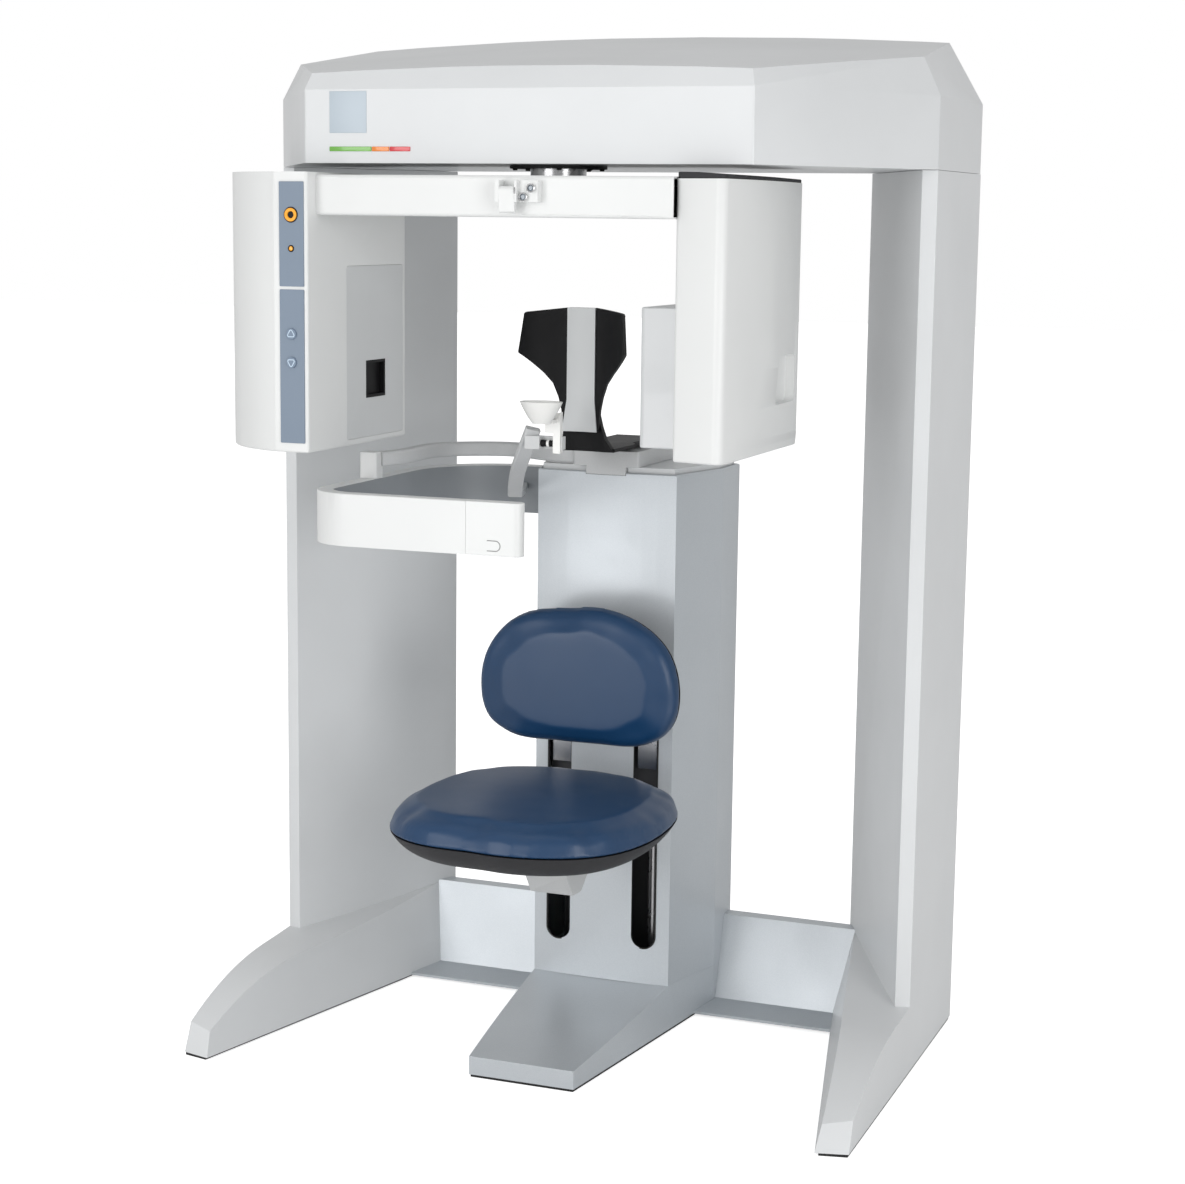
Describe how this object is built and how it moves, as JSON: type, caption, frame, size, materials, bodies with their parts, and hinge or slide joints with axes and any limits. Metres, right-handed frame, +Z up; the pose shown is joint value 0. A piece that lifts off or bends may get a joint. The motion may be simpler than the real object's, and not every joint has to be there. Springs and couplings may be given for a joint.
{
  "type": "panoramic x-ray machine",
  "caption": "Seated panoramic dental x-ray machine: portal frame, hanging rotary C-arm, lifting padded seat, chin rest, headrest and horseshoe support bar.",
  "frame": {"origin": "floor point under the rotary arm's vertical axis", "axes": "+Z up, -Y towards the front of the machine, +X to the viewer's right (detector side)"},
  "size_m": [1.22, 0.825, 1.81],
  "materials": {
    "cover_light": "satin light grey paint",
    "cover_silver": "satin silver-blue metallic paint",
    "cover_white": "semi-gloss white",
    "plastic_white": "gloss white",
    "plastic_dark": "matte dark grey",
    "plastic_black": "matte black",
    "panel_slate": "matte slate blue film",
    "panel_grey": "matte light grey",
    "button_pale": "matte pale grey",
    "lens_amber": "amber lens",
    "lens_clear": "pale translucent lens",
    "vinyl_navy": "soft navy vinyl upholstery",
    "rubber_black": "black rubber",
    "bracket_grey": "satin mid grey paint",
    "frame_steel": "dark grey paint",
    "steel_bright": "bright steel"
  },
  "bodies": {
    "portal": {"beam_cover": "cover_light", "beam_floor_panel": "cover_light", "beam_frame": "frame_steel", "right_leg_cover": "cover_light", "left_leg_cover": "cover_light", "leg_posts": "frame_steel", "rear_panels": "cover_light", "base_frame": "frame_steel", "floor_pads": "rubber_black", "centre_foot": "cover_silver", "cross_plates": "cover_silver", "column_cover": "cover_silver", "column_top_cap": "cover_light", "column_frame": "frame_steel", "guide_rods": "steel_bright", "lift_actuator_tube": "steel_bright", "power_supply": "frame_steel", "power_inlet": "plastic_black", "gantry_bearing": "plastic_dark", "drive_belt": "rubber_black", "drive_motor": "frame_steel", "status_light_bar": "lens_clear", "support_bar": "cover_white", "bar_end_cap": "cover_white", "rail_end_post": "cover_white", "grab_rail": "bracket_grey", "head_block": "bracket_grey", "chin_bracket": "bracket_grey"},
    "gantry": {"gantry_spindle": "steel_bright", "drive_wheel": "frame_steel", "arm_frame": "frame_steel", "arm_cover": "cover_white", "source_housing": "cover_white", "beam_window_panel": "panel_grey", "beam_aperture": "plastic_black", "xray_tube_head": "frame_steel", "control_panels": "panel_slate", "warning_lamps": "lens_amber", "detector_housing": "cover_white", "detector_top_cap": "plastic_dark", "detector_module": "cover_light", "light_mount": "cover_white"},
    "seat": {"seat_carriage": "frame_steel", "actuator_rod": "steel_bright", "seat_frame": "bracket_grey", "seat_pan": "plastic_dark", "seat_cushion": "vinyl_navy", "backrest_frame": "steel_bright", "backrest_shell": "plastic_dark", "backrest_cushion": "vinyl_navy"},
    "pulley": {"motor_pulley": "steel_bright"},
    "headrest": {"headrest_bracket": "plastic_black", "headrest_wings": "plastic_black", "headrest_strap": "panel_grey"},
    "chin_rest": {"chin_cup": "plastic_white"},
    "chin_clamp": {"chin_knob": "plastic_black"},
    "up_key": {"up_button": "button_pale"},
    "down_key": {"down_button": "button_pale"},
    "light_lever": {"alignment_light": "cover_white"}
  },
  "joints": [
    {"name": "gantry_rotation", "type": "hinge", "parent": "portal", "child": "gantry", "pos_m": [0, 0, 1.6], "axis": [0, 0, 1], "range_deg": [-180, 180]},
    {"name": "pulley_spin", "type": "hinge", "parent": "portal", "child": "pulley", "pos_m": [-0.29, 0, 1.66], "axis": [0, 0, 1], "range_deg": [-900, 900]},
    {"name": "seat_lift", "type": "slide", "parent": "portal", "child": "seat", "axis": [0, 0, 1], "range_m": [-0.12, 0.08]},
    {"name": "headrest_slide", "type": "slide", "parent": "portal", "child": "headrest", "axis": [0, 1, 0], "range_m": [-0.03, 0.03]},
    {"name": "chin_height", "type": "slide", "parent": "portal", "child": "chin_rest", "axis": [0, 0, 1], "range_m": [-0.012, 0.012]},
    {"name": "chin_knob_turn", "type": "hinge", "parent": "portal", "child": "chin_clamp", "pos_m": [-0.002, -0.036, 1.104], "axis": [1, 0, 0], "range_deg": [-180, 180]},
    {"name": "up_button_press", "type": "slide", "parent": "gantry", "child": "up_key", "axis": [0, 1, 0], "range_m": [0, 0.0015], "stiffness_N_per_m": 600, "springref_m": -0.001},
    {"name": "down_button_press", "type": "slide", "parent": "gantry", "child": "down_key", "axis": [0, 1, 0], "range_m": [0, 0.0015], "stiffness_N_per_m": 600, "springref_m": -0.001},
    {"name": "light_tilt", "type": "hinge", "parent": "gantry", "child": "light_lever", "pos_m": [0.017, -0.256, 1.524], "axis": [1, 0, 0], "range_deg": [-30, 0]}
  ],
  "couplings": [
    {"joint": "pulley_spin", "follows": "gantry_rotation", "ratio": 5}
  ]
}
